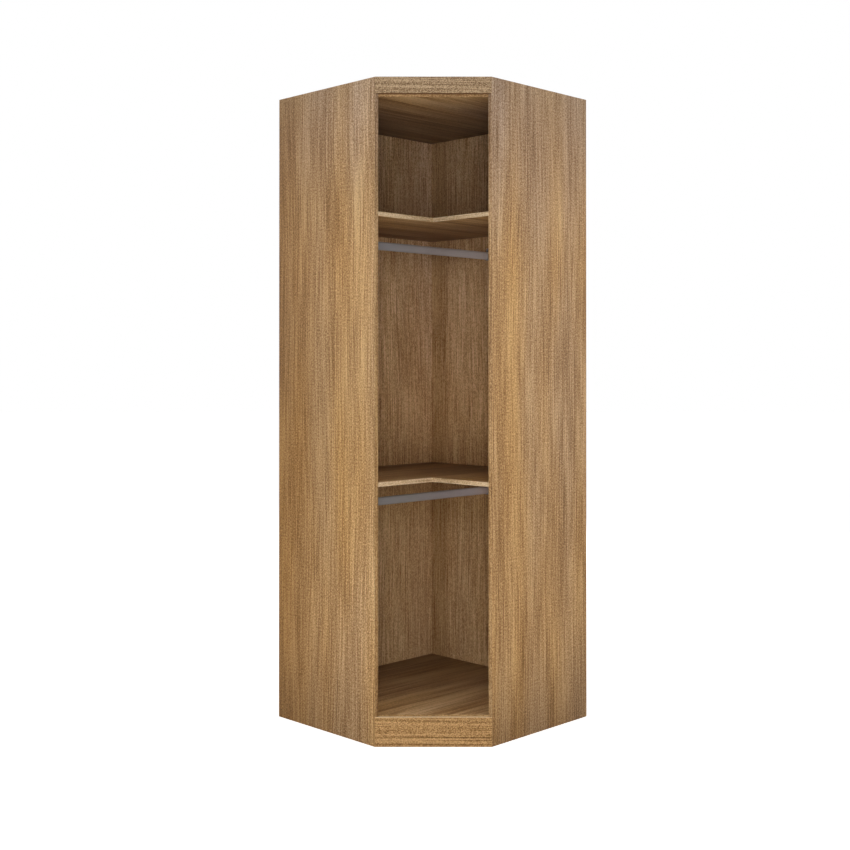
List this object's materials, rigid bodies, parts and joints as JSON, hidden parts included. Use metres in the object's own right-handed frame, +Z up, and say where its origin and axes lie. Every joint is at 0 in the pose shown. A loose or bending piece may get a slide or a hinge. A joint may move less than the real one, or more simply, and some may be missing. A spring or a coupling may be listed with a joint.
{
  "type": "corner wardrobe",
  "caption": "Tall open corner wardrobe with a diagonal front: five-sided wood-grain carcass with L-shaped shelves and hanging rails that lift out of open sockets.",
  "frame": {"origin": "middle of the footprint's box, on the floor", "axes": "-Y out of the open diagonal front, +X to the right of a person facing it, +Z up; the room corner is at +Y"},
  "size_m": [1.1314, 0.9334, 2.27],
  "materials": {
    "board": "wood-grain melamine on particle board, satin",
    "band": "wood-grain edge band, satin",
    "pale_band": "paler wood-grain edge band, satin",
    "rail_tube": "satin grey oblong tube",
    "socket": "moulded grey, satin",
    "block": "moulded brown, matt",
    "cam": "die-cast zinc",
    "steel": "zinc-plated",
    "dowel": "raw beech"
  },
  "bodies": {
    "carcass": {"block_screws": "steel", "cam_bolts": "steel", "cam_housings": "cam", "corner_screws": "steel", "dowels": "dowel", "floor_front_band": "band", "floor_panel": "board", "left_back_panel": "board", "left_side_band": "band", "left_side_panel": "board", "left_socket_screws": "steel", "lower_rail_left_socket": "socket", "lower_rail_right_socket": "socket", "lower_shelf": "board", "lower_shelf_left_band": "pale_band", "lower_shelf_right_band": "pale_band", "plinth_rail": "board", "plinth_rail_band": "pale_band", "plinth_rail_left_block": "block", "plinth_rail_right_block": "block", "rear_edge_screws": "steel", "right_back_panel": "board", "right_side_band": "band", "right_side_panel": "board", "right_socket_screws": "steel", "top_front_band": "band", "top_panel": "board", "top_rail": "board", "top_rail_band": "band", "top_rail_left_block": "block", "top_rail_right_block": "block", "upper_rail_left_socket": "socket", "upper_rail_right_socket": "socket", "upper_shelf": "board", "upper_shelf_left_band": "pale_band", "upper_shelf_right_band": "pale_band"},
    "upper_rail": {"upper_hanging_rail": "rail_tube"},
    "lower_rail": {"lower_hanging_rail": "rail_tube"}
  },
  "joints": [
    {"name": "upper_rail_lift", "type": "slide", "parent": "carcass", "child": "upper_rail", "axis": [0, 0, 1], "range_m": [0, 0.05]},
    {"name": "lower_rail_lift", "type": "slide", "parent": "carcass", "child": "lower_rail", "axis": [0, 0, 1], "range_m": [0, 0.05]}
  ]
}
